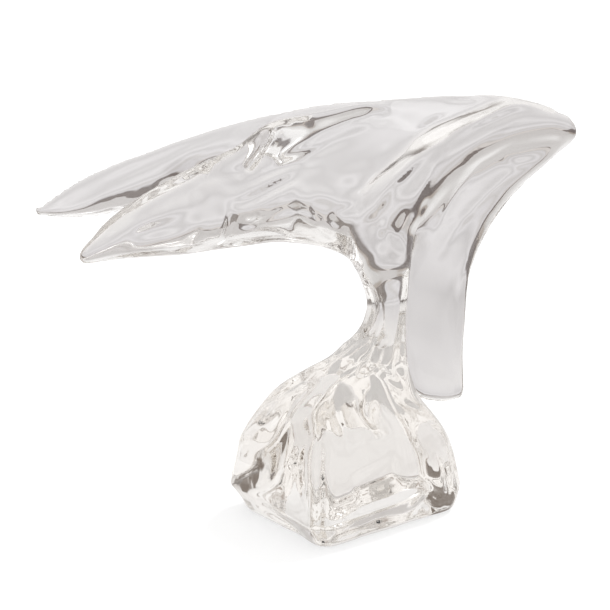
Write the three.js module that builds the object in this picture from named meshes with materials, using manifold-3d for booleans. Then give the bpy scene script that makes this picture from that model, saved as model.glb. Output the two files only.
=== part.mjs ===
// A crystal bird with two swept wings, on a waisted stem over a block of crystal worked like rock.
// It is hot-worked as one piece of clear glass, so it is one closed solid.
// Millimetres, +Z up. The origin is the middle of the flat underside, and the bird's axis runs along X.
import * as THREE from 'three';
import { mergeVertices } from 'three/addons/utils/BufferGeometryUtils.js';
import Module from 'manifold-3d';

// Rock base and stem
const UNDERSIDE_LENGTH = 106; // the flat face it stands on, along X
const UNDERSIDE_WIDTH = 86;
const FOOT_BEVEL = 2.5; // height and depth of the ground-off lower edge
const BELLY_OVERHANG = 4.5; // how far the rock swells past its underside, each way
const ROCK_HEIGHT = 100; // underside to the foot of the stem
const STEM_SIDE = 19; // the four-sided stem at its waist
const STEM_HEIGHT = 50; // foot of the stem to the bird
const STEM_OUT = 24; // the stem stands off the middle towards the head
const STEM_ASIDE = -2;

// Bird: one length, and the thickness of each limb
const BIRD_LENGTH = 330; // wing tips to beak, along X
const FAR_WING_THICKNESS = 8;
const NEAR_WING_THICKNESS = 28;
const NECK_THICKNESS = 26;
const LOWERED_WING_THICKNESS = 8;
const RIB_THICKNESS = 13;
const LENS_FULLNESS = 0.8; // 1 makes an elliptical section, and less a fuller one

// Fineness of the facets
const RINGS_PER_ROW = 3;
const POINTS_ROUND_A_LIMB = 20;
const POINTS_ROUND_A_CORNER = 5;
const POINTS_ALONG_A_FACE = 3;
const DIRECTION_STEP = 0.05; // rows each way over which a limb's direction is measured
const SAME_POINT = 1e-4; // points closer than this are one point

const UP = new THREE.Vector3(0, 0, 1);
const GLASS = { color: 0xe9edee, roughness: 0.02, metalness: 0 };

// The rock and stem from the bottom up: level (0 underside, 1 foot of the stem, 2 the bird), girth (0 stem's
// waist, 1 belly), lean (0 over the middle, 1 over the stem), twist in degrees, corner radius and hollow of the
// faces (both as shares of the half side).
const ROCK_ROWS = [
  [0.15, 1.0, -0.1, 3, 0.26, 0.0],
  [0.36, 0.93, -0.12, 3, 0.26, 0.01],
  [0.5, 0.84, -0.14, 2, 0.28, 0.03],
  [0.62, 0.71, -0.14, 0, 0.3, 0.05],
  [0.74, 0.55, -0.06, -8, 0.32, 0.07],
  [0.84, 0.37, 0.24, -13, 0.34, 0.08],
  [0.93, 0.2, 0.56, -11, 0.34, 0.06],
  [1.06, 0.09, 0.8, -5, 0.32, 0.03],
  [1.26, 0.02, 0.98, 0, 0.3, 0.0],
  [1.5, 0.0, 1.05, 0, 0.3, 0.0],
  [1.76, 0.03, 1.0, 0, 0.36, 0.0],
  [2.0, 0.06, 0.9, 0, 0.5, 0.0],
  [2.2, 0.06, 0.86, 0, 0.7, 0.0],
];

// Every limb below is a row of lens-shaped sections. Each row gives one edge (x, y, z), the other edge (x, y, z),
// and the thickness at the first and at the second edge as shares of the limb's own thickness. Edges are in
// hundredths of the bird's length, from the top of the stem.
const NEAR_WING_ROWS = [
  [-57.3, 6.5, 7.9, -57.4, 6.9, 10.2, 0.25, 0.25],
  [-53.5, 4.4, 8.4, -52.8, 6.3, 14.7, 0.5, 0.35],
  [-48.8, 2.7, 8.6, -46.0, 7.0, 17.9, 0.7, 0.4],
  [-41.9, 1.3, 8.3, -38.0, 7.4, 20.5, 0.9, 0.45],
  [-32.3, 0.7, 8.2, -26.6, 10.4, 22.0, 1.0, 0.45],
  [-21.4, 0.3, 7.8, -15.2, 14.8, 22.6, 1.05, 0.45],
  [-12.0, 0.2, 5.2, -3.0, 15.6, 22.9, 1.05, 0.45],
  [-4.8, -0.3, 1.3, 4.4, 12.0, 22.4, 0.95, 0.4],
  [1.4, -0.9, 0.4, 9.6, 4.6, 21.2, 0.7, 0.35],
];
const NECK_ROWS = [
  [1.6, -0.2, -4.0, -2.2, 0.2, -4.0, 0.45, 0.45],
  [2.8, -0.2, 0.8, -4.6, 0.2, 1.4, 0.85, 0.85],
  [4.6, -0.2, 4.8, -6.5, 0.2, 8.0, 1.0, 1.0],
  [6.9, -0.2, 8.1, -3.2, 0.0, 14.1, 1.15, 1.0],
  [9.8, 0.2, 11.2, 2.4, -0.2, 18.0, 1.05, 0.85],
  [13.4, 0.5, 13.8, 10.4, -0.3, 21.8, 0.9, 0.7],
  [20.8, -0.1, 17.8, 20.0, -0.3, 24.8, 0.7, 0.6],
  [28.8, -0.3, 19.6, 28.3, 0.3, 26.0, 0.55, 0.55],
  [36.1, -0.1, 19.9, 35.5, 0.1, 24.0, 0.45, 0.4],
  [39.8, -0.3, 19.4, 39.8, -0.2, 21.4, 0.35, 0.3],
];
const LOWERED_WING_ROWS = [
  [9.0, 0.3, 19.6, 40.5, -0.3, 21.0, 1.2, 0.8],
  [10.2, 0.8, 15.0, 42.6, -0.7, 18.4, 1.2, 0.8],
  [8.9, 1.4, 10.2, 39.4, 0.2, 15.3, 1.2, 1.1],
  [7.6, 3.0, 4.1, 32.0, 1.2, 10.1, 1.1, 1.4],
  [7.2, 4.8, -2.5, 24.9, 1.5, 3.4, 1.0, 1.5],
  [7.0, 5.6, -9.4, 20.9, 2.1, -4.7, 0.9, 1.4],
  [7.1, 5.9, -16.3, 19.4, 1.6, -12.5, 0.9, 1.3],
  [8.1, 5.6, -22.3, 18.6, 1.1, -20.4, 0.8, 1.2],
  [9.6, 4.4, -26.8, 18.5, 0.4, -26.6, 0.8, 1.0],
  [10.8, 3.4, -28.6, 18.2, 0.2, -28.9, 0.7, 0.8],
];
const FAR_WING_ROWS = [
  [36.0, -0.1, 22.2, 36.8, 0.1, 23.4, 0.6, 0.5],
  [27.9, 0.3, 23.7, 27.9, 3.2, 26.7, 1.0, 0.6],
  [18.5, 0.0, 22.3, 20.4, 8.6, 26.8, 1.3, 0.7],
  [9.2, -0.3, 19.4, 12.8, 13.7, 26.3, 1.4, 0.7],
  [0.5, 3.2, 13.4, 4.9, 18.4, 25.9, 1.4, 0.8],
  [-7.0, 6.8, 15.0, -3.4, 22.5, 24.8, 1.5, 0.8],
  [-13.4, 10.6, 17.9, -12.0, 29.4, 22.0, 1.5, 0.8],
  [-20.0, 20.2, 16.2, -20.4, 36.9, 18.1, 1.2, 0.75],
  [-24.7, 28.1, 11.0, -26.8, 42.6, 14.9, 1.0, 0.7],
  [-30.2, 35.1, 7.3, -33.3, 47.4, 11.6, 0.9, 0.7],
  [-36.0, 41.9, 4.9, -39.1, 50.2, 8.0, 0.7, 0.6],
  [-40.5, 47.1, 4.1, -42.5, 51.1, 5.8, 0.55, 0.5],
  [-43.6, 50.7, 4.3, -43.7, 51.2, 5.6, 0.4, 0.4],
];
const RIB_ROWS = [
  [8.5, 12.7, 25.0, 8.8, 13.1, 25.5, 0.3, 0.3],
  [3.3, 13.9, 24.5, 4.2, 15.2, 25.6, 0.55, 0.55],
  [-5.4, 14.0, 22.4, -3.7, 16.5, 25.0, 0.8, 0.8],
  [-13.2, 12.6, 20.4, -11.1, 16.4, 24.7, 1.0, 1.0],
  [-19.2, 10.9, 19.0, -16.5, 15.6, 24.0, 1.0, 1.0],
  [-25.3, 9.1, 18.0, -23.3, 12.2, 22.2, 0.9, 0.9],
  [-33.2, 7.1, 16.9, -30.3, 9.5, 20.8, 0.5, 0.5],
];

// A smooth run through rows of numbers, at place t counted in rows
function between(rows, t) {
  const last = rows.length - 1;
  const i = Math.min(Math.floor(t), last - 1);
  const u = t - i;
  const row = (k) => rows[Math.max(0, Math.min(last, k))];
  return row(i).map((start, c) => {
    const end = row(i + 1)[c];
    const before = i === 0 ? 2 * start - end : row(i - 1)[c];
    const after = i + 1 === last ? 2 * end - start : row(i + 2)[c];
    const bend = (2 * before - 5 * start + 4 * end - after) * u * u;
    const swing = (3 * start - before - 3 * end + after) * u * u * u;
    return start + 0.5 * ((end - before) * u + bend + swing);
  });
}

// A closed skin over rings of equal length, with a point as the pole of each end
function skin(rings, firstPole, lastPole) {
  const around = rings[0].length;
  const points = [firstPole, ...rings.flat(), lastPole];
  const at = (ring, k) => 1 + ring * around + (k % around);
  const faces = [];
  for (let k = 0; k < around; k += 1) {
    faces.push(0, at(0, k + 1), at(0, k));
    faces.push(points.length - 1, at(rings.length - 1, k), at(rings.length - 1, k + 1));
    for (let ring = 0; ring + 1 < rings.length; ring += 1) {
      faces.push(at(ring, k), at(ring, k + 1), at(ring + 1, k));
      faces.push(at(ring, k + 1), at(ring + 1, k + 1), at(ring + 1, k));
    }
  }
  const geometry = new THREE.BufferGeometry().setFromPoints(points);
  geometry.setIndex(signedVolume(points, faces) < 0 ? faces.reverse() : faces);
  return geometry;
}

function signedVolume(points, faces) {
  let sum = 0;
  for (let i = 0; i < faces.length; i += 3) {
    const [a, b, c] = [points[faces[i]], points[faces[i + 1]], points[faces[i + 2]]];
    sum += a.dot(b.clone().cross(c));
  }
  return sum / 6;
}

// The lens-shaped section of a limb at place t
function limbSection(rows, thickness, t) {
  const unit = BIRD_LENGTH / 100;
  const edges = (at) => {
    const row = between(rows, at);
    return {
      first: new THREE.Vector3(row[0], row[1], row[2]).multiplyScalar(unit),
      second: new THREE.Vector3(row[3], row[4], row[5]).multiplyScalar(unit),
      row,
    };
  };
  const here = edges(t);
  const back = edges(Math.max(0, t - DIRECTION_STEP));
  const ahead = edges(Math.min(rows.length - 1, t + DIRECTION_STEP));
  const along = ahead.first.clone().add(ahead.second).sub(back.first).sub(back.second).normalize();
  const across = here.second.clone().sub(here.first);
  const out = across.clone().cross(along).normalize();
  const [atFirst, atSecond] = here.row.slice(6);
  const ring = [];
  for (let k = 0; k < POINTS_ROUND_A_LIMB; k += 1) {
    const angle = (2 * Math.PI * k) / POINTS_ROUND_A_LIMB;
    const share = 0.5 - 0.5 * Math.cos(angle);
    const sine = Math.sin(angle);
    const full = Math.sign(sine) * Math.abs(sine) ** LENS_FULLNESS;
    const half = 0.5 * thickness * THREE.MathUtils.lerp(atFirst, atSecond, share) * full;
    ring.push(here.first.clone().addScaledVector(across, share).addScaledVector(out, half));
  }
  const middle = here.first.clone().add(here.second).multiplyScalar(0.5);
  return { ring, middle, along, half: 0.25 * thickness * (atFirst + atSecond) };
}

function limb(rows, thickness) {
  const count = (rows.length - 1) * RINGS_PER_ROW;
  const sections = [];
  for (let k = 0; k <= count; k += 1) {
    sections.push(limbSection(rows, thickness, k / RINGS_PER_ROW));
  }
  const start = sections[0];
  const end = sections[count];
  return skin(
    sections.map((section) => section.ring),
    start.middle.clone().addScaledVector(start.along, -start.half),
    end.middle.clone().addScaledVector(end.along, end.half),
  );
}

// One level of the rock: a rectangle with rounded corners, hollowed faces and a twist
function rockSection({ height, halfLength, halfWidth, corner, hollow, twist, x, y }) {
  const ring = [];
  for (let side = 0; side < 4; side += 1) {
    const turn = (side * Math.PI) / 2;
    const [reach, spread] = side % 2 === 0 ? [halfLength, halfWidth] : [halfWidth, halfLength];
    const place = (px, py) => {
      const point = new THREE.Vector3(px, py, 0).applyAxisAngle(UP, turn + THREE.MathUtils.degToRad(twist));
      ring.push(point.add(new THREE.Vector3(x, y, height)));
    };
    for (let k = 0; k < POINTS_ROUND_A_CORNER; k += 1) {
      const angle = (k / (POINTS_ROUND_A_CORNER - 1)) * (Math.PI / 2);
      place(reach - corner + corner * Math.cos(angle), spread - corner + corner * Math.sin(angle));
    }
    for (let k = 1; k <= POINTS_ALONG_A_FACE; k += 1) {
      const share = k / (POINTS_ALONG_A_FACE + 1);
      place((reach - corner) * (1 - 2 * share), spread - hollow * Math.sin(Math.PI * share));
    }
  }
  return ring;
}

function rockAndStem() {
  const rings = [];
  const halfLength = UNDERSIDE_LENGTH / 2;
  const halfWidth = UNDERSIDE_WIDTH / 2;
  const twistAtFoot = ROCK_ROWS[0][3];
  const cornerAtFoot = ROCK_ROWS[0][4] * halfWidth;
  for (const [height, inset] of [[0, FOOT_BEVEL], [FOOT_BEVEL, 0]]) {
    rings.push(
      rockSection({
        height,
        halfLength: halfLength - inset,
        halfWidth: halfWidth - inset,
        corner: cornerAtFoot - inset,
        hollow: 0,
        twist: twistAtFoot,
        x: 0,
        y: 0,
      }),
    );
  }
  const count = (ROCK_ROWS.length - 1) * RINGS_PER_ROW;
  for (let k = 0; k <= count; k += 1) {
    const [level, girth, lean, twist, corner, hollow] = between(ROCK_ROWS, k / RINGS_PER_ROW);
    const levelLength = THREE.MathUtils.lerp(STEM_SIDE / 2, halfLength + BELLY_OVERHANG, girth);
    const levelWidth = THREE.MathUtils.lerp(STEM_SIDE / 2, halfWidth + BELLY_OVERHANG, girth);
    rings.push(
      rockSection({
        height: Math.min(level, 1) * ROCK_HEIGHT + Math.max(level - 1, 0) * STEM_HEIGHT,
        halfLength: levelLength,
        halfWidth: levelWidth,
        corner: corner * levelWidth,
        hollow: hollow * levelWidth,
        twist,
        x: lean * STEM_OUT,
        y: lean * STEM_ASIDE,
      }),
    );
  }
  const top = rings[rings.length - 1];
  const lid = top.reduce((sum, point) => sum.add(point), new THREE.Vector3()).divideScalar(top.length);
  return skin(rings, new THREE.Vector3(0, 0, 0), lid);
}

// Every limb is joined to the stem's top
const wasm = await Module();
wasm.setup();

function solidOf(geometry) {
  const merged = mergeVertices(geometry, SAME_POINT);
  return new wasm.Manifold(
    new wasm.Mesh({
      numProp: 3,
      vertProperties: Float32Array.from(merged.attributes.position.array),
      triVerts: Uint32Array.from(merged.index.array),
    }),
  );
}

function geometryOf(solid) {
  const mesh = solid.getMesh();
  const geometry = new THREE.BufferGeometry();
  geometry.setAttribute('position', new THREE.BufferAttribute(mesh.vertProperties, 3));
  geometry.setIndex(new THREE.BufferAttribute(mesh.triVerts, 1));
  geometry.computeVertexNormals();
  return geometry;
}

const LIMBS = [
  [NEAR_WING_ROWS, NEAR_WING_THICKNESS],
  [NECK_ROWS, NECK_THICKNESS],
  [LOWERED_WING_ROWS, LOWERED_WING_THICKNESS],
  [FAR_WING_ROWS, FAR_WING_THICKNESS],
  [RIB_ROWS, RIB_THICKNESS],
];

let bird = solidOf(rockAndStem());
for (const [rows, thickness] of LIMBS) {
  const geometry = limb(rows, thickness);
  geometry.translate(STEM_OUT, STEM_ASIDE, ROCK_HEIGHT + STEM_HEIGHT);
  bird = bird.add(solidOf(geometry));
}

const mesh = new THREE.Mesh(geometryOf(bird), new THREE.MeshStandardMaterial(GLASS));
mesh.name = 'crystal_bird';

const group = new THREE.Group();
group.add(mesh);
export default group;
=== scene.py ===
"""A clear crystal bird on a rock of crystal, seen in soft studio light.

The bird, its stem and its rock are one mass of hot-worked glass. Each limb is a row of lens-shaped sections,
as in the solid model, and here the limbs are melted into each other as distance fields before one fine
mesh is drawn through them. Lengths are in millimetres until the mesh is made, and metres after that.
"""

import bpy
import numpy as np
import openvdb as vdb
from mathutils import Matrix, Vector


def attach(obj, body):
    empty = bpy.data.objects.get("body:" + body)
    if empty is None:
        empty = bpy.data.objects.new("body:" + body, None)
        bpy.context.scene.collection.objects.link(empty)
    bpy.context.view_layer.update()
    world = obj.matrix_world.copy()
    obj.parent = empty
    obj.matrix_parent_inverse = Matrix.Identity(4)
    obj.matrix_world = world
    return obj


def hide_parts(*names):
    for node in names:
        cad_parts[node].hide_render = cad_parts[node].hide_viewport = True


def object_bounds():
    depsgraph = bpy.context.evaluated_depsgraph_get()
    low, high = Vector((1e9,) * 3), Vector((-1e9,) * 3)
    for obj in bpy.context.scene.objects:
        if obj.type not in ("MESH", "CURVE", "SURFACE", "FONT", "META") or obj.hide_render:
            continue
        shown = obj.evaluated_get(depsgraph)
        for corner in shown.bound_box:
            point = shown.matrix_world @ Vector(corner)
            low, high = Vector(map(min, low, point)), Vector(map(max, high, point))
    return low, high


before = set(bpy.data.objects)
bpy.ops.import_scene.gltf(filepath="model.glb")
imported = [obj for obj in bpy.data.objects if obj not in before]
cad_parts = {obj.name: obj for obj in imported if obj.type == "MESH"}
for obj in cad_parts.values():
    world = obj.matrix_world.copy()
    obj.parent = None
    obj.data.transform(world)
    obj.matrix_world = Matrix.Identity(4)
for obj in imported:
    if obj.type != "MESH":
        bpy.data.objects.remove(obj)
cad_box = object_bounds()

# ---- sizes of the solid model, in millimetres ----
UNDERSIDE_LENGTH, UNDERSIDE_WIDTH = 106, 86
FOOT_BEVEL = 2.5
BELLY_OVERHANG = 4.5
ROCK_HEIGHT = 100
STEM_SIDE, STEM_HEIGHT = 19, 50
STEM_OUT, STEM_ASIDE = 24, -2
BIRD_LENGTH = 330

# level, girth, lean, twist in degrees, corner radius and hollow of the faces, from the underside up
ROCK_ROWS = [
    [0.15, 1.0, -0.1, 3, 0.26, 0.0],
    [0.36, 0.93, -0.12, 3, 0.26, 0.01],
    [0.5, 0.84, -0.14, 2, 0.28, 0.03],
    [0.62, 0.71, -0.14, 0, 0.3, 0.05],
    [0.74, 0.55, -0.06, -8, 0.32, 0.07],
    [0.84, 0.37, 0.24, -13, 0.34, 0.08],
    [0.93, 0.2, 0.56, -11, 0.34, 0.06],
    [1.06, 0.09, 0.8, -5, 0.32, 0.03],
    [1.26, 0.02, 0.98, 0, 0.3, 0.0],
    [1.5, 0.0, 1.05, 0, 0.3, 0.0],
    [1.76, 0.03, 1.0, 0, 0.36, 0.0],
    [2.0, 0.06, 0.9, 0, 0.5, 0.0],
    [2.2, 0.06, 0.86, 0, 0.7, 0.0],
]

# Limbs: one edge x y z, the other edge x y z (hundredths of the bird's length from the stem's top), then the
# thickness at each edge as a share of the limb's own.
NEAR_WING_ROWS = [
    [-57.3, 6.5, 7.9, -57.4, 6.9, 10.2, 0.25, 0.25],
    [-53.5, 4.4, 8.4, -52.8, 6.3, 14.7, 0.5, 0.35],
    [-48.8, 2.7, 8.6, -46.0, 7.0, 17.9, 0.7, 0.4],
    [-41.9, 1.3, 8.3, -38.0, 7.4, 20.5, 0.9, 0.45],
    [-32.3, 0.7, 8.2, -26.6, 10.4, 22.0, 1.0, 0.45],
    [-21.4, 0.3, 7.8, -15.2, 14.8, 22.6, 1.05, 0.45],
    [-12.0, 0.2, 5.2, -3.0, 15.6, 22.9, 1.05, 0.45],
    [-4.8, -0.3, 1.3, 4.4, 12.0, 22.4, 0.95, 0.4],
    [1.4, -0.9, 0.4, 9.6, 4.6, 21.2, 0.7, 0.35],
]
NECK_ROWS = [
    [1.6, -0.2, -4.0, -2.2, 0.2, -4.0, 0.45, 0.45],
    [2.8, -0.2, 0.8, -4.6, 0.2, 1.4, 0.85, 0.85],
    [4.6, -0.2, 4.8, -6.5, 0.2, 8.0, 1.0, 1.0],
    [6.9, -0.2, 8.1, -3.2, 0.0, 14.1, 1.15, 1.0],
    [9.8, 0.2, 11.2, 2.4, -0.2, 18.0, 1.05, 0.85],
    [13.4, 0.5, 13.8, 10.4, -0.3, 21.8, 0.9, 0.7],
    [20.8, -0.1, 17.8, 20.0, -0.3, 24.8, 0.7, 0.6],
    [28.8, -0.3, 19.6, 28.3, 0.3, 26.0, 0.55, 0.55],
    [36.1, -0.1, 19.9, 35.5, 0.1, 24.0, 0.45, 0.4],
    [39.8, -0.3, 19.4, 39.8, -0.2, 21.4, 0.35, 0.3],
]
LOWERED_WING_ROWS = [
    [9.0, 0.3, 19.6, 40.5, -0.3, 21.0, 1.2, 0.8],
    [10.2, 0.8, 15.0, 42.6, -0.7, 18.4, 1.2, 0.8],
    [8.9, 1.4, 10.2, 39.4, 0.2, 15.3, 1.2, 1.1],
    [7.6, 3.0, 4.1, 32.0, 1.2, 10.1, 1.1, 1.4],
    [7.2, 4.8, -2.5, 24.9, 1.5, 3.4, 1.0, 1.5],
    [7.0, 5.6, -9.4, 20.9, 2.1, -4.7, 0.9, 1.4],
    [7.1, 5.9, -16.3, 19.4, 1.6, -12.5, 0.9, 1.3],
    [8.1, 5.6, -22.3, 18.6, 1.1, -20.4, 0.8, 1.2],
    [9.6, 4.4, -26.8, 18.5, 0.4, -26.6, 0.8, 1.0],
    [10.8, 3.4, -28.6, 18.2, 0.2, -28.9, 0.7, 0.8],
]
FAR_WING_ROWS = [
    [36.0, -0.1, 22.2, 36.8, 0.1, 23.4, 0.6, 0.5],
    [27.9, 0.3, 23.7, 27.9, 3.2, 26.7, 1.0, 0.6],
    [18.5, 0.0, 22.3, 20.4, 8.6, 26.8, 1.3, 0.7],
    [9.2, -0.3, 19.4, 12.8, 13.7, 26.3, 1.4, 0.7],
    [0.5, 3.2, 13.4, 4.9, 18.4, 25.9, 1.4, 0.8],
    [-7.0, 6.8, 15.0, -3.4, 22.5, 24.8, 1.5, 0.8],
    [-13.4, 10.6, 17.9, -12.0, 29.4, 22.0, 1.5, 0.8],
    [-20.0, 20.2, 16.2, -20.4, 36.9, 18.1, 1.2, 0.75],
    [-24.7, 28.1, 11.0, -26.8, 42.6, 14.9, 1.0, 0.7],
    [-30.2, 35.1, 7.3, -33.3, 47.4, 11.6, 0.9, 0.7],
    [-36.0, 41.9, 4.9, -39.1, 50.2, 8.0, 0.7, 0.6],
    [-40.5, 47.1, 4.1, -42.5, 51.1, 5.8, 0.55, 0.5],
    [-43.6, 50.7, 4.3, -43.7, 51.2, 5.6, 0.4, 0.4],
]
RIB_ROWS = [
    [8.5, 12.7, 25.0, 8.8, 13.1, 25.5, 0.3, 0.3],
    [3.3, 13.9, 24.5, 4.2, 15.2, 25.6, 0.55, 0.55],
    [-5.4, 14.0, 22.4, -3.7, 16.5, 25.0, 0.8, 0.8],
    [-13.2, 12.6, 20.4, -11.1, 16.4, 24.7, 1.0, 1.0],
    [-19.2, 10.9, 19.0, -16.5, 15.6, 24.0, 1.0, 1.0],
    [-25.3, 9.1, 18.0, -23.3, 12.2, 22.2, 0.9, 0.9],
    [-33.2, 7.1, 16.9, -30.3, 9.5, 20.8, 0.5, 0.5],
]

# Folds and tool marks pulled into the hot glass. Each runs through places on a skin, as (row, across) pairs, and
# has a half width and a height in millimetres (a groove's is negative) and a steepness of its sides. On a limb,
# across runs from its first edge (0) to its second (1). On the rock it counts the corners, and 2 is the near one.
NEAR_WING_FOLDS = [
    ([(0.4, 0.85), (1, 0.84), (2, 0.89), (3.2, 0.94)], 4.0, -2.0, 4),
    ([(0.4, 0.7), (1, 0.66), (2, 0.76), (3, 0.85), (4.1, 0.9)], 1.8, 1.0, 3),
    ([(0.5, 0.16), (1.5, 0.13), (2.5, 0.12), (3.6, 0.12)], 2.0, -1.4, 3),
    ([(3.7, 0.13), (4.4, 0.14), (5.0, 0.2), (5.6, 0.13)], 2.0, -1.8, 3),
    ([(3.9, 0.36), (4.3, 0.38), (4.9, 0.45), (5.3, 0.55), (5.7, 0.62)], 3.2, -2.8, 3),
    ([(3.8, 0.3), (4.3, 0.31), (4.8, 0.36), (5.2, 0.42)], 1.8, 1.6, 3),
    ([(3.8, 0.02), (3.82, 0.2), (3.82, 0.38)], 2.0, -3.0, 4),
    ([(3.6, 0.05), (3.62, 0.2), (3.62, 0.36)], 2.2, 1.2, 3),
    ([(3.1, 0.25), (3.5, 0.2)], 5.0, 1.4, 4),
    ([(3.9, 0.56), (4.5, 0.58), (5, 0.62), (5.6, 0.7), (6.2, 0.82), (6.9, 0.95)], 2.4, -2.4, 3),
    ([(4.2, 0.48), (5.0, 0.53), (5.6, 0.6)], 2.5, 1.2, 3),
    ([(3.3, 0.62), (3.7, 0.66)], 4.0, 1.5, 3),
    ([(4.0, 0.7), (4.2, 0.74)], 2.6, -1.8, 3),
    ([(0.8, 0.45), (2, 0.5), (3, 0.55), (4.0, 0.5)], 3.0, 0.9, 2),
    ([(1.2, 0.3), (2.2, 0.32), (2.9, 0.28)], 4.0, -1.1, 2),
    ([(5.2, 0.3), (5.6, 0.32), (6.0, 0.3)], 4.0, 1.4, 2),
    ([(5.85, 0.14), (6.05, 0.12)], 2.4, -2.8, 3),
    ([(5.9, 0.18), (6.5, 0.3), (7.2, 0.42), (8.0, 0.55)], 2.0, -2.2, 3),
    ([(6.0, 0.45), (6.7, 0.6), (7.4, 0.72)], 3.0, 1.1, 2),
    ([(1.6, 0.3), (2.3, 0.33), (3.0, 0.36)], 5.0, -2.2, 2),
    ([(0.3, 0.8), (1.5, 0.8), (2.5, 0.8), (3.6, 0.84)], 2.2, 1.6, 3),
    ([(4.02, 0.2), (4.25, 0.15), (4.4, 0.2)], 3.0, -2.6, 4),
    ([(5.25, 0.02), (5.25, 0.2), (5.2, 0.4)], 5.0, 2.0, 3),
    ([(3.2, 0.9), (3.6, 0.93), (4.1, 0.95)], 1.8, 1.4, 3),
    ([(0.5, 0.62), (1.2, 0.7), (1.8, 0.74)], 1.8, -1.6, 3),
    ([(3.1, 0.06), (3.3, 0.2), (3.35, 0.32)], 2.4, -1.8, 3),
]
NECK_FOLDS = [
    ([(2.6, 0.93), (4, 0.94), (5.5, 0.95), (7, 0.9), (8.3, 0.85)], 1.9, 2.0, 2),
    ([(4.7, 0.8), (5.5, 0.76), (6.2, 0.72), (7.2, 0.74), (8.2, 0.7)], 1.8, -2.0, 2),
    ([(5.2, 0.4), (6.2, 0.42), (7.0, 0.48), (8.0, 0.5)], 1.8, -1.0, 2),
    ([(4.9, 0.6), (5.8, 0.57), (6.8, 0.6), (7.8, 0.6)], 1.8, 0.9, 2),
    ([(3.3, 0.8), (3.9, 0.78), (4.5, 0.85)], 4.5, -2.0, 3),
    ([(3.2, 0.5), (3.9, 0.58), (4.6, 0.72), (5.1, 0.88)], 1.9, 1.3, 2),
    ([(3.0, 0.2), (3.6, 0.24)], 3.0, -1.8, 2),
    ([(1.1, 0.9), (1.6, 0.75), (2.2, 0.6)], 2.0, -1.2, 2),
    ([(1.2, 0.45), (1.8, 0.6), (2.6, 0.9)], 1.9, 1.2, 2),
    ([(1.4, 0.2), (2.0, 0.4), (2.8, 0.5)], 1.9, -1.2, 2),
    ([(2.1, 0.95), (2.5, 0.82), (3.1, 0.78)], 3.5, -1.5, 2),
    ([(1.7, 0.2), (2.3, 0.28), (2.9, 0.3)], 2.0, 1.2, 2),
    ([(0.95, 0.02), (0.97, 0.3), (1.0, 0.6), (1.0, 0.95)], 2.2, 2.0, 2),
    ([(0.5, 0.05), (0.5, 0.5), (0.5, 0.95)], 2.2, -1.2, 2),
]
LOWERED_WING_FOLDS = [
    ([(1.5, 0.93), (3, 0.9), (4.5, 0.9), (5.2, 0.92)], 2.2, -1.5, 3),
    ([(1.8, 0.62), (2.6, 0.5), (3.6, 0.42), (4.2, 0.42)], 2.4, 1.0, 2),
    ([(4.6, 0.82), (5.6, 0.76), (6.6, 0.74), (7.5, 0.75)], 2.0, 1.0, 3),
    ([(0.4, 0.3), (1.2, 0.25), (2.2, 0.2), (3.2, 0.22)], 3.0, -1.2, 2),
    ([(1.0, 0.45), (1.5, 0.6), (1.7, 0.75)], 2.0, 0.9, 3),
    ([(8.5, 0.8), (8.8, 0.93)], 2.0, -1.6, 3),
    ([(5.2, 0.93), (6.5, 0.93), (8, 0.93)], 1.8, 1.0, 3),
    ([(0.8, 0.04), (0.9, 0.2), (0.6, 0.4), (0.3, 0.55)], 2.2, -1.6, 3),
    ([(0.3, 0.1), (1.2, 0.1), (2.2, 0.1), (3.0, 0.12)], 7.0, 3.0, 2),
]
FAR_WING_FOLDS = [
    ([(2.5, 0.38), (2.9, 0.3), (3.3, 0.22)], 2.0, -2.2, 3),
    ([(0.8, 0.4), (1.6, 0.25), (2.4, 0.15), (3.2, 0.08)], 2.0, 1.3, 3),
    ([(1.6, 0.75), (2.1, 0.8)], 3.0, -1.6, 4),
    ([(6.4, 0.75), (8, 0.7), (9.5, 0.6), (11, 0.5)], 4.0, -0.8, 2),
    ([(7.6, 0.35), (9, 0.35), (10.5, 0.35)], 3.0, 0.7, 2),
    ([(7.0, 0.5), (8.5, 0.5), (10, 0.55)], 5.0, 0.8, 2),
    ([(7.9, 0.12), (8.3, 0.15)], 2.2, -1.8, 3),
    ([(3.2, 0.7), (4.2, 0.5), (4.9, 0.3)], 3.0, -0.9, 2),
    ([(4.75, 0.76), (5.05, 0.72)], 2.4, -1.6, 3),
]
RIB_FOLDS = [
    ([(4.85, 0.05), (4.5, 0.2), (4.2, 0.4), (3.85, 0.68)], 2.4, -4.2, 4),
    ([(4.0, 0.2), (3.85, 0.35), (3.6, 0.5), (3.2, 0.55)], 1.8, 1.7, 3),
    ([(2.1, 0.45), (2.5, 0.4)], 3.0, -1.8, 3),
    ([(0.7, 0.1), (0.3, 0.1)], 2.2, -1.6, 3),
    ([(5.7, 0.72), (5.0, 0.76), (4.4, 0.86)], 1.8, -1.4, 3),
]
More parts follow.
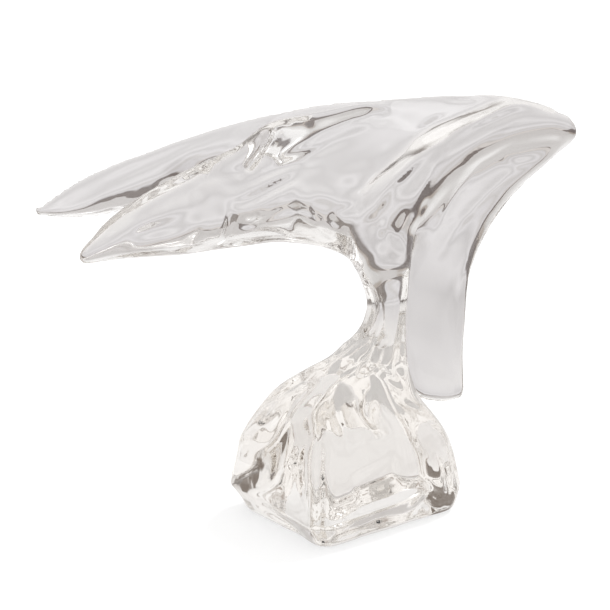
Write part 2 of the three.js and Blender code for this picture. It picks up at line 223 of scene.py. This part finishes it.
ROCK_FOLDS = [
    ([(-0.8, 2.21), (0.5, 2.21), (1.5, 2.2), (2.5, 2.2), (3.3, 2.15)], 1.9, -2.0, 3),
    ([(0.2, 2.0), (1.2, 1.97), (2.2, 1.97), (3.0, 2.02), (4.0, 2.1)], 2.2, -1.9, 3),
    ([(-0.5, 2.12), (1.0, 2.1), (2.5, 2.08), (4, 2.12), (5, 2.2)], 3.0, 1.6, 3),
    ([(-1.0, 1.76), (-0.1, 1.78)], 18.0, -2.0, 6),
    ([(0.6, 1.15), (1.9, 1.58), (3.1, 1.66), (4.4, 1.85)], 5.0, -1.5, 2),
    ([(1.2, 1.1), (2.6, 1.5), (3.8, 1.6), (5.0, 1.8)], 2.5, 0.9, 2),
    ([(-1.0, 1.3), (0.0, 1.35)], 4.0, -2.0, 4),
    ([(5.2, 2.55), (4, 2.58), (2.8, 2.6)], 9.0, -2.4, 6),
    ([(1.6, 2.62), (0.6, 2.64)], 16.0, -1.7, 8),
    ([(4.1, 2.42), (3.4, 2.43), (2.8, 2.45)], 2.2, -2.2, 4),
    ([(0.1, 2.5), (0.15, 2.62), (0.2, 2.75), (0.35, 2.86)], 2.0, 1.8, 3),
    ([(-0.3, 2.82), (0.05, 2.9)], 2.6, -2.4, 3),
    ([(-0.4, 3.06), (0.6, 3.08), (1.4, 3.05)], 8.0, -2.6, 8),
    ([(-0.2, 3.02), (0.8, 3.04)], 1.8, 1.1, 3),
    ([(0.05, 2.86), (-0.9, 2.93)], 2.3, -2.3, 3),
    ([(3.9, 2.93), (3.5, 3.05), (3.3, 3.15)], 1.6, -1.3, 3),
    ([(3.5, 2.93), (3.1, 3.05), (2.9, 3.15)], 1.6, -1.3, 3),
    ([(3.1, 2.93), (2.7, 3.05), (2.5, 3.15)], 1.6, -1.3, 3),
    ([(7.5, 2.2), (6.5, 2.45), (5.6, 2.8), (5, 2.95)], 2.1, 1.2, 3),
    ([(8.6, 1.6), (9.5, 1.6), (10.4, 1.6)], 1.6, -1.0, 3),
    ([(8.6, 1.85), (9.5, 1.85), (10.4, 1.85)], 1.6, -1.0, 3),
]

# The limbs in the order they are joined: rows, thickness, how softly the limb melts into what it joins, its
# folds, and the face that they are on.
LENS_FULLNESS = 0.8
LIMBS = [
    (NEAR_WING_ROWS, 28, 14, NEAR_WING_FOLDS, -1),
    (NECK_ROWS, 26, 10, NECK_FOLDS, -1),
    (LOWERED_WING_ROWS, 8, 16, LOWERED_WING_FOLDS, -1),
    (FAR_WING_ROWS, 8, 7, FAR_WING_FOLDS, 1),
    (RIB_ROWS, 13, 4, RIB_FOLDS, 1),
]

# A slit cut in behind the head: the places it runs through, the way it goes in, its half width and its depth.
SLIT = [(-58, 20, 215), (-44, 30, 220.5), (-31, 39, 227)]
SLIT_INWARD = (0.55, 0.8, -0.3)
SLIT_HALF_WIDTH, SLIT_DEPTH = 2.2, 9
SLIT_EDGE_SOFTNESS = 1

# The slow unevenness that hot glass keeps: the length, direction and phase of each wave.
WAVES = [
    (46, (0.8, 0.5, 0.3), 0.4),
    (37, (-0.4, 0.8, 0.5), 1.9),
    (31, (0.3, -0.5, 0.8), 3.1),
    (24, (0.7, -0.6, -0.4), 4.4),
    (19, (0.5, 0.7, -0.5), 0.9),
]
RIPPLE = 0.25
SKIN_LEFT_ON = 0.2  # keeps the thin tips, which the smoothing would shorten

# ---- how finely it is drawn ----
VOXEL = 1.7
BAND = 9  # voxels each side of a skin in which distances are exact
MARGIN = 12
AROUND = 160
ROCK_AROUND = 228
STEPS_PER_ROW = 18
STEPS_ALONG_A_FOLD = 40
RELAX_ROUNDS, RELAX_SHARE, RELAX_RETURN = 6, 0.55, 1.03
SEAT_DEPTH = 0.3  # points lower than this are on the flat seat


def between(rows, t):
    """A smooth run through rows of numbers, at places t counted in rows."""
    rows = np.asarray(rows, float)
    padded = np.vstack([2 * rows[0] - rows[1], rows, 2 * rows[-1] - rows[-2]])
    i = np.minimum(t.astype(int), len(rows) - 2)
    u = (t - i)[:, None]
    before, start, end, after = (padded[i + k] for k in range(4))
    bend = (2 * before - 5 * start + 4 * end - after) * u**2
    swing = (3 * start - before - 3 * end + after) * u**3
    return start + 0.5 * ((end - before) * u + bend + swing)


def skin(rings, first_pole, last_pole):
    """Points and triangles of a closed skin over rings of equal length."""
    count, around = rings.shape[:2]
    points = np.vstack([first_pole, rings.reshape(-1, 3), last_pole])
    k = np.arange(around)
    after = (k + 1) % around
    faces = [np.stack([np.zeros(around, int), 1 + after, 1 + k], 1)]
    last_ring = 1 + (count - 1) * around
    faces.append(np.stack([np.full(around, len(points) - 1), last_ring + k, last_ring + after], 1))
    for ring in range(count - 1):
        low, high = 1 + ring * around, 1 + (ring + 1) * around
        faces.append(np.stack([low + k, low + after, high + k], 1))
        faces.append(np.stack([low + after, high + after, high + k], 1))
    return points, np.vstack(faces)


def unit(vectors):
    return vectors / np.linalg.norm(vectors, axis=-1, keepdims=True)


def folded(rings, folds, place):
    """The rings with folds raised or sunk; place turns (row, across) into (ring, point of the ring)."""
    count, around = rings.shape[:2]
    flow = np.gradient(rings, axis=0)
    girdle = np.roll(rings, -1, axis=1) - np.roll(rings, 1, axis=1)
    out = unit(np.cross(girdle, flow))
    if np.sum(out * (rings - rings.mean(1, keepdims=True))) < 0:
        out = -out
    flat, flat_out = rings.reshape(-1, 3), out.reshape(-1, 3)
    height_here = np.zeros(len(flat))
    for stops, width, height, steepness in folds:
        run = between(stops, np.linspace(0, len(stops) - 1, STEPS_ALONG_A_FOLD))
        ring, point = place(run[:, 0], run[:, 1])
        ring = np.clip(ring, 0, count - 1.001)
        i, k = ring.astype(int), np.floor(point).astype(int)
        u, v = (ring - i)[:, None], (point - k)[:, None]
        k, after = k % around, (k + 1) % around
        path = (rings[i, k] * (1 - u) + rings[i + 1, k] * u) * (1 - v)
        path += (rings[i, after] * (1 - u) + rings[i + 1, after] * u) * v
        gap = np.linalg.norm(flat[:, None] - path, axis=2)
        nearest = gap.argmin(1)
        taper = np.sin(np.pi * (nearest + 0.5) / len(run)) ** 0.5
        same_face = np.sum(flat_out * out[i, k][nearest], axis=1) > 0.2
        profile = 1 / (1 + (gap.min(1) / width) ** (2 * steepness))
        height_here += height * taper * profile * same_face
    return rings + out * height_here.reshape(count, around, 1)


def limb(rows, thickness, folds, face):
    """A limb's skin: lens-shaped sections between two edges, with folds on one face."""
    last = len(rows) - 1
    t = np.linspace(0, last, last * STEPS_PER_ROW + 1)
    row = between(rows, t)
    first = row[:, 0:3] * BIRD_LENGTH / 100
    second = row[:, 3:6] * BIRD_LENGTH / 100
    along = unit(np.gradient(first + second, axis=0))
    across = second - first
    out = unit(np.cross(across, along))
    angle = np.linspace(0, 2 * np.pi, AROUND, endpoint=False)
    share = 0.5 - 0.5 * np.cos(angle)
    full = np.sign(np.sin(angle)) * np.abs(np.sin(angle)) ** LENS_FULLNESS
    half = 0.5 * thickness * (row[:, 6:7] * (1 - share) + row[:, 7:8] * share) * full
    rings = first[:, None] + across[:, None] * share[None, :, None] + out[:, None] * half[:, :, None]
    rings = folded(
        rings,
        folds,
        lambda row_at, across_at: (
            row_at * STEPS_PER_ROW,
            (face * np.arccos(1 - 2 * across_at) / (2 * np.pi) * AROUND) % AROUND,
        ),
    )
    middle = 0.5 * (first + second)
    reach = 0.25 * thickness * (row[:, 6] + row[:, 7])
    points, faces = skin(rings, middle[0] - along[0] * reach[0], middle[-1] + along[-1] * reach[-1])
    return points + [STEM_OUT, STEM_ASIDE, ROCK_HEIGHT + STEM_HEIGHT], faces


def rounded_rectangle(height, half_length, half_width, corner, hollow, twist, x, y):
    """A level ring with round corners and faces sunk by hollow, turned by twist about its middle at x, y."""
    corner_points, face_points = 9, 10
    ring = []
    for side in range(4):
        reach, spread = (half_length, half_width) if side % 2 == 0 else (half_width, half_length)
        angle = np.linspace(0, np.pi / 2, corner_points)
        turned = [reach - corner + corner * np.cos(angle), spread - corner + corner * np.sin(angle)]
        share = np.arange(1, face_points + 1) / (face_points + 1)
        flat = [(reach - corner) * (1 - 2 * share), spread - hollow * np.sin(np.pi * share)]
        px, py = np.hstack([turned, flat])
        turn = side * np.pi / 2 + np.radians(twist)
        ring.append(
            np.stack(
                [
                    px * np.cos(turn) - py * np.sin(turn) + x,
                    px * np.sin(turn) + py * np.cos(turn) + y,
                    np.full_like(px, height),
                ],
                1,
            )
        )
    return np.vstack(ring)


def rock_and_stem():
    """The rock with its bevelled foot and its folds, and the stem that rises from it."""
    half_length, half_width = UNDERSIDE_LENGTH / 2, UNDERSIDE_WIDTH / 2
    foot_twist, foot_corner = ROCK_ROWS[0][3], ROCK_ROWS[0][4] * half_width
    foot, edge = (
        rounded_rectangle(
            height, half_length - inset, half_width - inset, foot_corner - inset, 0, foot_twist, 0, 0
        )
        for height, inset in ((0, FOOT_BEVEL), (FOOT_BEVEL, 0))
    )
    body = []
    last = len(ROCK_ROWS) - 1
    for level, girth, lean, twist, corner, hollow in between(
        ROCK_ROWS, np.linspace(0, last, last * STEPS_PER_ROW + 1)
    ):
        length = STEM_SIDE / 2 + (half_length + BELLY_OVERHANG - STEM_SIDE / 2) * girth
        width = STEM_SIDE / 2 + (half_width + BELLY_OVERHANG - STEM_SIDE / 2) * girth
        height = min(level, 1) * ROCK_HEIGHT + max(level - 1, 0) * STEM_HEIGHT
        section = (height, length, width, corner * width, hollow * width, twist)
        body.append(rounded_rectangle(*section, lean * STEM_OUT, lean * STEM_ASIDE))
    rise = np.arange(STEPS_PER_ROW)[:, None, None] / STEPS_PER_ROW
    rings = np.concatenate([foot[None], edge + (body[0] - edge) * rise, body])
    rings = np.stack([finer(ring) for ring in rings])
    rings = folded(
        rings,
        ROCK_FOLDS,
        lambda row_at, across_at: (1 + (row_at + 1) * STEPS_PER_ROW, across_at / 4 * ROCK_AROUND),
    )
    rings[:, :, 2] = np.maximum(rings[:, :, 2], 0)
    return skin(rings, np.zeros(3), rings[-1].mean(0))


def finer(ring):
    """A ring with ROCK_AROUND points, on the straight runs between those it has."""
    at = np.arange(ROCK_AROUND) * len(ring) / ROCK_AROUND
    here = at.astype(int)
    share = (at - here)[:, None]
    return ring[here] * (1 - share) + ring[(here + 1) % len(ring)] * share


# ---- distance fields ----
LOW = np.array(cad_box[0]) * 1000 - MARGIN
HIGH = np.array(cad_box[1]) * 1000 + MARGIN
CELLS = np.ceil((HIGH - LOW) / VOXEL).astype(int) + 1
GRID_X, GRID_Y, GRID_Z = (
    LOW[axis] + VOXEL * np.arange(CELLS[axis], dtype=np.float32) for axis in range(3)
)
PLACE = np.meshgrid(GRID_X, GRID_Y, GRID_Z, indexing="ij", sparse=True)


def distance(points, faces):
    """Distance to a closed skin at every cell, negative inside, in millimetres."""
    grid = vdb.FloatGrid.createLevelSetFromPolygons(
        ((points - LOW) / VOXEL).astype(np.float32),
        triangles=faces.astype(np.uint32),
        halfWidth=BAND,
    )
    cells = np.empty(tuple(CELLS), np.float32)
    grid.copyToArray(cells, ijk=(0, 0, 0))
    return cells * VOXEL


def melt(a, b, softness):
    """Union of two fields with a fillet."""
    overlap = np.maximum(softness - np.abs(a - b), 0) / softness
    return np.minimum(a, b) - overlap**2 * softness / 4


def ripple():
    """The height of the crossed waves at every cell."""
    x, y, z = PLACE
    total = 0
    for length, (dx, dy, dz), phase in WAVES:
        turn = 2 * np.pi / length
        total = total + np.sin(turn * (dx * x + dy * y + dz * z) + phase)
    return RIPPLE * total / len(WAVES)


def slit():
    """Distance to the slit, which is deeper than it is wide."""
    path = between(SLIT, np.linspace(0, len(SLIT) - 1, STEPS_ALONG_A_FOLD))
    inward = unit(np.array(SLIT_INWARD))
    squeeze = 1 - (SLIT_HALF_WIDTH / SLIT_DEPTH) ** 2
    nearest = np.full(tuple(CELLS), np.inf, np.float32)
    for stop in path:
        x, y, z = (PLACE[axis] - np.float32(stop[axis]) for axis in range(3))
        depth = x * inward[0] + y * inward[1] + z * inward[2]
        nearest = np.minimum(nearest, x**2 + y**2 + z**2 - squeeze * depth**2)
    return np.sqrt(nearest) - SLIT_HALF_WIDTH


field = distance(*rock_and_stem())
for rows, thickness, softness, folds, face in LIMBS:
    field = melt(field, distance(*limb(rows, thickness, folds, face)), softness)
field = field - SKIN_LEFT_ON + ripple()
field = -melt(-field, slit(), SLIT_EDGE_SOFTNESS)
for axis in range(3):
    field = 0.5 * field + 0.25 * (np.roll(field, 1, axis) + np.roll(field, -1, axis))

# ---- from the field to one fine mesh ----
grid = vdb.FloatGrid()
grid.copyFromArray(field / VOXEL)
cells_points, triangles, quads = grid.convertToPolygons(isovalue=0.0, adaptivity=0.0)
points = np.asarray(cells_points, float)


def sample(volume, places):
    """Trilinear reading of a volume at places counted in cells."""
    i = np.clip(np.floor(places).astype(int), 0, np.array(volume.shape) - 2)
    u = places - i
    total = np.zeros(len(places))
    for corner in range(8):
        step = np.array([corner & 1, corner >> 1 & 1, corner >> 2 & 1])
        weight = np.prod(np.where(step, u, 1 - u), axis=1)
        total += weight * volume[tuple((i + step).T)]
    return total


def relax(points, edges):
    """Moves each point towards the middle of its neighbours, and then back, so nothing shrinks."""
    count = len(points)
    a, b = edges
    degree = np.bincount(a, minlength=count)[:, None]
    for step in [RELAX_SHARE, -RELAX_SHARE * RELAX_RETURN] * RELAX_ROUNDS:
        middle = np.stack([np.bincount(a, points[b, axis], count) for axis in range(3)], 1) / degree
        points = points + step * (middle - points)
    return points


corners = np.vstack([quads[:, [0, 1]], quads[:, [1, 2]], quads[:, [2, 3]], quads[:, [3, 0]]])
if len(triangles):
    corners = np.vstack([corners, triangles[:, [0, 1]], triangles[:, [1, 2]], triangles[:, [2, 0]]])
pairs = np.unique(np.sort(corners, axis=1), axis=0)
edges = np.hstack([pairs.T, pairs[:, ::-1].T])
points = relax(points, edges)
normals = np.stack([sample(slope, points) for slope in np.gradient(field)], 1)
under = points[:, 2] * VOXEL + LOW[2] < SEAT_DEPTH
normals[under] = (0, 0, -1)
points = np.clip(points * VOXEL + LOW, LOW + MARGIN, HIGH - MARGIN)
points[under, 2] = 0
points = points / 1000

mesh = bpy.data.meshes.new("crystal_bird_glass")
loops = np.concatenate([quads.ravel(), triangles.ravel()]).astype(np.int32)
sizes = np.concatenate([np.full(len(quads), 4), np.full(len(triangles), 3)]).astype(np.int32)
mesh.vertices.add(len(points))
mesh.vertices.foreach_set("co", points.astype(np.float32).ravel())
mesh.loops.add(len(loops))
mesh.loops.foreach_set("vertex_index", loops)
mesh.polygons.add(len(sizes))
mesh.polygons.foreach_set("loop_start", np.concatenate([[0], np.cumsum(sizes)[:-1]]).astype(np.int32))
mesh.update(calc_edges=True)
mesh.validate()
mesh.shade_smooth()
mesh.normals_split_custom_set_from_vertices(unit(normals).astype(np.float32))
bird = bpy.data.objects.new("crystal_bird_glass", mesh)
bpy.context.scene.collection.objects.link(bird)
print("mesh", len(points), "points", len(quads) * 2 + len(triangles), "triangles")


# ---- glass ----
def crystal():
    """Clear glass with a trace of colour in its depth, drawn out along the wings above and up the rock below."""
    material = bpy.data.materials.new("clear_crystal")
    material.use_nodes = True
    nodes, links = material.node_tree.nodes, material.node_tree.links
    shader = nodes["Principled BSDF"]
    # Painted shade in part: besides the crystal's own faint warm tint, the grey base colour dims everything seen
    # through the glass, standing in for a dimmer backdrop behind it.
    shader.inputs["Base Color"].default_value = (0.875, 0.862, 0.854, 1)
    shader.inputs["Roughness"].default_value = 0.0
    shader.inputs["IOR"].default_value = 1.56
    shader.inputs["Transmission Weight"].default_value = 1.0
    place = nodes.new("ShaderNodeTexCoord")
    drawn = []
    for stretch in ((0.25, 1, 1), (1, 1, 0.3)):
        along = nodes.new("ShaderNodeMapping")
        along.inputs["Scale"].default_value = stretch
        links.new(place.outputs["Object"], along.inputs["Vector"])
        streaks = nodes.new("ShaderNodeTexNoise")
        streaks.inputs["Scale"].default_value = 75
        streaks.inputs["Detail"].default_value = 1
        links.new(along.outputs["Vector"], streaks.inputs["Vector"])
        drawn.append(streaks.outputs["Fac"])
    split = nodes.new("ShaderNodeSeparateXYZ")
    links.new(place.outputs["Object"], split.inputs["Vector"])
    level = nodes.new("ShaderNodeMapRange")
    level.inputs["From Min"].default_value = 0.14
    level.inputs["From Max"].default_value = 0.17
    links.new(split.outputs["Z"], level.inputs["Value"])
    blend = nodes.new("ShaderNodeMix")
    links.new(level.outputs["Result"], blend.inputs["Factor"])
    links.new(drawn[1], blend.inputs["A"])
    links.new(drawn[0], blend.inputs["B"])
    bump = nodes.new("ShaderNodeBump")
    bump.inputs["Strength"].default_value = 0.5
    bump.inputs["Distance"].default_value = 0.0008
    links.new(blend.outputs["Result"], bump.inputs["Height"])
    links.new(bump.outputs["Normal"], shader.inputs["Normal"])
    depth = nodes.new("ShaderNodeVolumeAbsorption")
    depth.inputs["Color"].default_value = (0.9, 0.868, 0.82, 1)
    depth.inputs["Density"].default_value = 3.0
    links.new(depth.outputs["Volume"], nodes["Material Output"].inputs["Volume"])
    return material


mesh.materials.append(crystal())
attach(bird, "root")
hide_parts("crystal_bird")


# ---- studio ----
VIEW_AZIMUTH = np.radians(34)
TO_THE_RIGHT = (np.cos(VIEW_AZIMUTH), -np.sin(VIEW_AZIMUTH), 0)
AWAY = (np.sin(VIEW_AZIMUTH), np.cos(VIEW_AZIMUTH), 0)


def measured(nodes, links, place, direction, low, high):
    """How far a place lies along a direction, as 0 at low and 1 at high."""
    dot = nodes.new("ShaderNodeVectorMath")
    dot.operation = "DOT_PRODUCT"
    dot.inputs[1].default_value = direction
    links.new(place, dot.inputs[0])
    spread = nodes.new("ShaderNodeMapRange")
    spread.inputs["From Min"].default_value = low
    spread.inputs["From Max"].default_value = high
    links.new(dot.outputs["Value"], spread.inputs["Value"])
    return spread.outputs["Result"]


def ramp(nodes, links, at, stops):
    """A run of colours over 0 to 1."""
    node = nodes.new("ShaderNodeValToRGB")
    while len(node.color_ramp.elements) < len(stops):
        node.color_ramp.elements.new(0.5)
    for element, (position, colour) in zip(node.color_ramp.elements, stops):
        element.position = position
        element.color = (*colour, 1)
    links.new(at, node.inputs["Fac"])
    return node.outputs["Color"]


def mixed(nodes, links, factor, a, b, blend="MIX"):
    """Two colours mixed by a factor, each a socket or a plain value."""
    node = nodes.new("ShaderNodeMix")
    node.data_type = "RGBA"
    node.blend_type = blend
    for name, value in (("Factor", factor), ("A", a), ("B", b)):
        if isinstance(value, bpy.types.NodeSocket):
            links.new(value, node.inputs[name])
        elif name == "Factor":
            node.inputs[name].default_value = value
        else:
            node.inputs[name].default_value = (*value, 1)
    return node.outputs["Result"]


def pale_floor():
    """A table of white opal sheet, lit from below as well, which the camera sees as plain white. For the glass
    alone it is painted with shade, greyer further back and dark past its sides in place of the dim studio around,
    and the glass draws its edges with that painted shade."""
    reach, below, glowing = 14, 0.0004, 0.67
    mesh = bpy.data.meshes.new("floor")
    sheet = [(x * reach, y * reach, -below) for x, y in ((-1, -1), (1, -1), (1, 1), (-1, 1))]
    mesh.from_pydata(sheet, [], [(0, 1, 2, 3)])
    floor = bpy.data.objects.new("floor", mesh)
    bpy.context.scene.collection.objects.link(floor)
    material = bpy.data.materials.new("pale_floor")
    material.use_nodes = True
    nodes, links = material.node_tree.nodes, material.node_tree.links
    place = nodes.new("ShaderNodeTexCoord").outputs["Object"]
    depth = measured(nodes, links, place, AWAY, -0.5, 3.5)
    # Painted shade: as the glass sees it, the table greys in bands further back, standing in for the dimmer
    # studio behind.
    table = ramp(
        nodes,
        links,
        depth,
        [
            (0.0, (0.5, 0.49, 0.48)),
            (0.1, (0.85, 0.84, 0.83)),
            (0.16, (0.82, 0.81, 0.8)),
            (0.2, (0.68, 0.67, 0.675)),
            (0.24, (0.58, 0.57, 0.575)),
            (0.28, (0.7, 0.69, 0.7)),
            (0.32, (0.56, 0.55, 0.555)),
            (0.38, (0.68, 0.67, 0.685)),
            (0.46, (0.55, 0.535, 0.53)),
            (0.6, (0.62, 0.61, 0.625)),
            (0.8, (0.5, 0.48, 0.465)),
            (0.9, (0.6, 0.57, 0.55)),
        ],
    )
    aside = measured(nodes, links, place, TO_THE_RIGHT, -1, 1)
    # Painted shade: dark strips past the table's sides, standing in for the unlit room the glass sees at its
    # edges.
    sides = ramp(
        nodes,
        links,
        aside,
        [
            (0.28, (0.28, 0.25, 0.24)),
            (0.34, (1, 1, 1)),
            (0.67, (1, 1, 1)),
            (0.75, (0.34, 0.31, 0.29)),
        ],
    )
    table = mixed(nodes, links, 1.0, table, sides, "MULTIPLY")
    # The camera sees plain white here; every other ray sees the painted shade.
    path = nodes.new("ShaderNodeLightPath").outputs["Is Camera Ray"]
    colour = mixed(nodes, links, path, table, (1.0, 1.0, 1.0))
    paper = nodes.new("ShaderNodeBsdfDiffuse")
    unlit = (1 - glowing,) * 3
    links.new(mixed(nodes, links, 1.0, colour, unlit, "MULTIPLY"), paper.inputs["Color"])
    glow = nodes.new("ShaderNodeEmission")
    glow.inputs["Strength"].default_value = glowing
    links.new(colour, glow.inputs["Color"])
    lit = nodes.new("ShaderNodeAddShader")
    links.new(paper.outputs[0], lit.inputs[0])
    links.new(glow.outputs[0], lit.inputs[1])
    links.new(lit.outputs[0], nodes["Material Output"].inputs["Surface"])
    mesh.materials.append(material)


pale_floor()


def aim(thing, target):
    thing.rotation_euler = (Vector(target) - thing.location).to_track_quat("-Z", "Y").to_euler()


def soft_sun(name, direction, strength, width):
    """A wide sun that lights the table and isn't seen in the glass."""
    data = bpy.data.lights.new(name, "SUN")
    data.energy = strength
    data.angle = np.radians(width)
    lamp = bpy.data.objects.new(name, data)
    bpy.context.scene.collection.objects.link(lamp)
    lamp.location = direction
    aim(lamp, (0, 0, 0))
    lamp.visible_glossy = False
    lamp.visible_transmission = False


soft_sun("key", (1.9, 0.35, 2.3), 2.4, 16)


# Panels of the room: azimuth and elevation in degrees (0 is in front, 90 to the left), half width, soft edge
# and colour.
PANELS = [
    (34, 16, 6, 6, (0.5, 0.44, 0.4)),
    (130, 12, 25, 6, (0.17, 0.13, 0.1)),
    (-29, 1, 6, 3, (0.2, 0.16, 0.13)),
    (214, 0, 12, 9, (0.66, 0.64, 0.63)),
    (200, 62, 12, 4, (2.2, 2.2, 2.2)),
    (90, 62, 9, 4, (2.0, 2.0, 2.0)),
]


def studio():
    """A white room with a dim line at the horizon, dark warm walls at its sides and two lamps overhead."""
    world = bpy.data.worlds.new("studio")
    bpy.context.scene.world = world
    world.use_nodes = True
    nodes, links = world.node_tree.nodes, world.node_tree.links
    place = nodes.new("ShaderNodeTexCoord").outputs["Generated"]
    height = measured(nodes, links, place, (0, 0, 1), -0.1, 1)
    behind = ramp(
        nodes,
        links,
        height,
        [
            (0.0, (0.42, 0.36, 0.31)),
            (0.12, (0.46, 0.41, 0.37)),
            (0.16, (0.7, 0.69, 0.68)),
            (0.3, (0.85, 0.84, 0.83)),
            (0.5, (1.02, 1.02, 1.02)),
            (1.0, (1.1, 1.1, 1.1)),
        ],
    )
    front = ramp(
        nodes,
        links,
        height,
        [
            (0.0, (0.5, 0.47, 0.45)),
            (0.2, (1.0, 0.99, 0.98)),
            (0.6, (1.2, 1.19, 1.18)),
            (1.0, (1.15, 1.15, 1.15)),
        ],
    )
    shade = mixed(nodes, links, measured(nodes, links, place, AWAY, -0.3, 0.4), front, behind)
    for azimuth, elevation, width, softness, colour in PANELS:
        flat = np.cos(np.radians(elevation))
        toward = (
            -flat * np.sin(np.radians(azimuth)),
            -flat * np.cos(np.radians(azimuth)),
            np.sin(np.radians(elevation)),
        )
        low, high = np.cos(np.radians(width + softness)), np.cos(np.radians(width))
        shade = mixed(nodes, links, measured(nodes, links, place, toward, low, high), shade, colour)
    links.new(shade, nodes["Background"].inputs["Color"])


studio()

# ---- camera, at the photograph's angle ----
CAMERA_AT = (-0.69483, -0.98244, 0.50768)
LOOKS_AT = (-0.00152, 0.04543, 0.11676)
data = bpy.data.cameras.new("camera")
data.sensor_width = 36
data.lens = 126.6
camera = bpy.data.objects.new("camera", data)
bpy.context.scene.collection.objects.link(camera)
camera.location = CAMERA_AT
aim(camera, LOOKS_AT)
bpy.context.scene.camera = camera

scene = bpy.context.scene
scene.view_settings.view_transform = "Standard"
scene.cycles.max_bounces = 32
scene.cycles.transmission_bounces = 32
scene.cycles.glossy_bounces = 16
scene.cycles.diffuse_bounces = 4
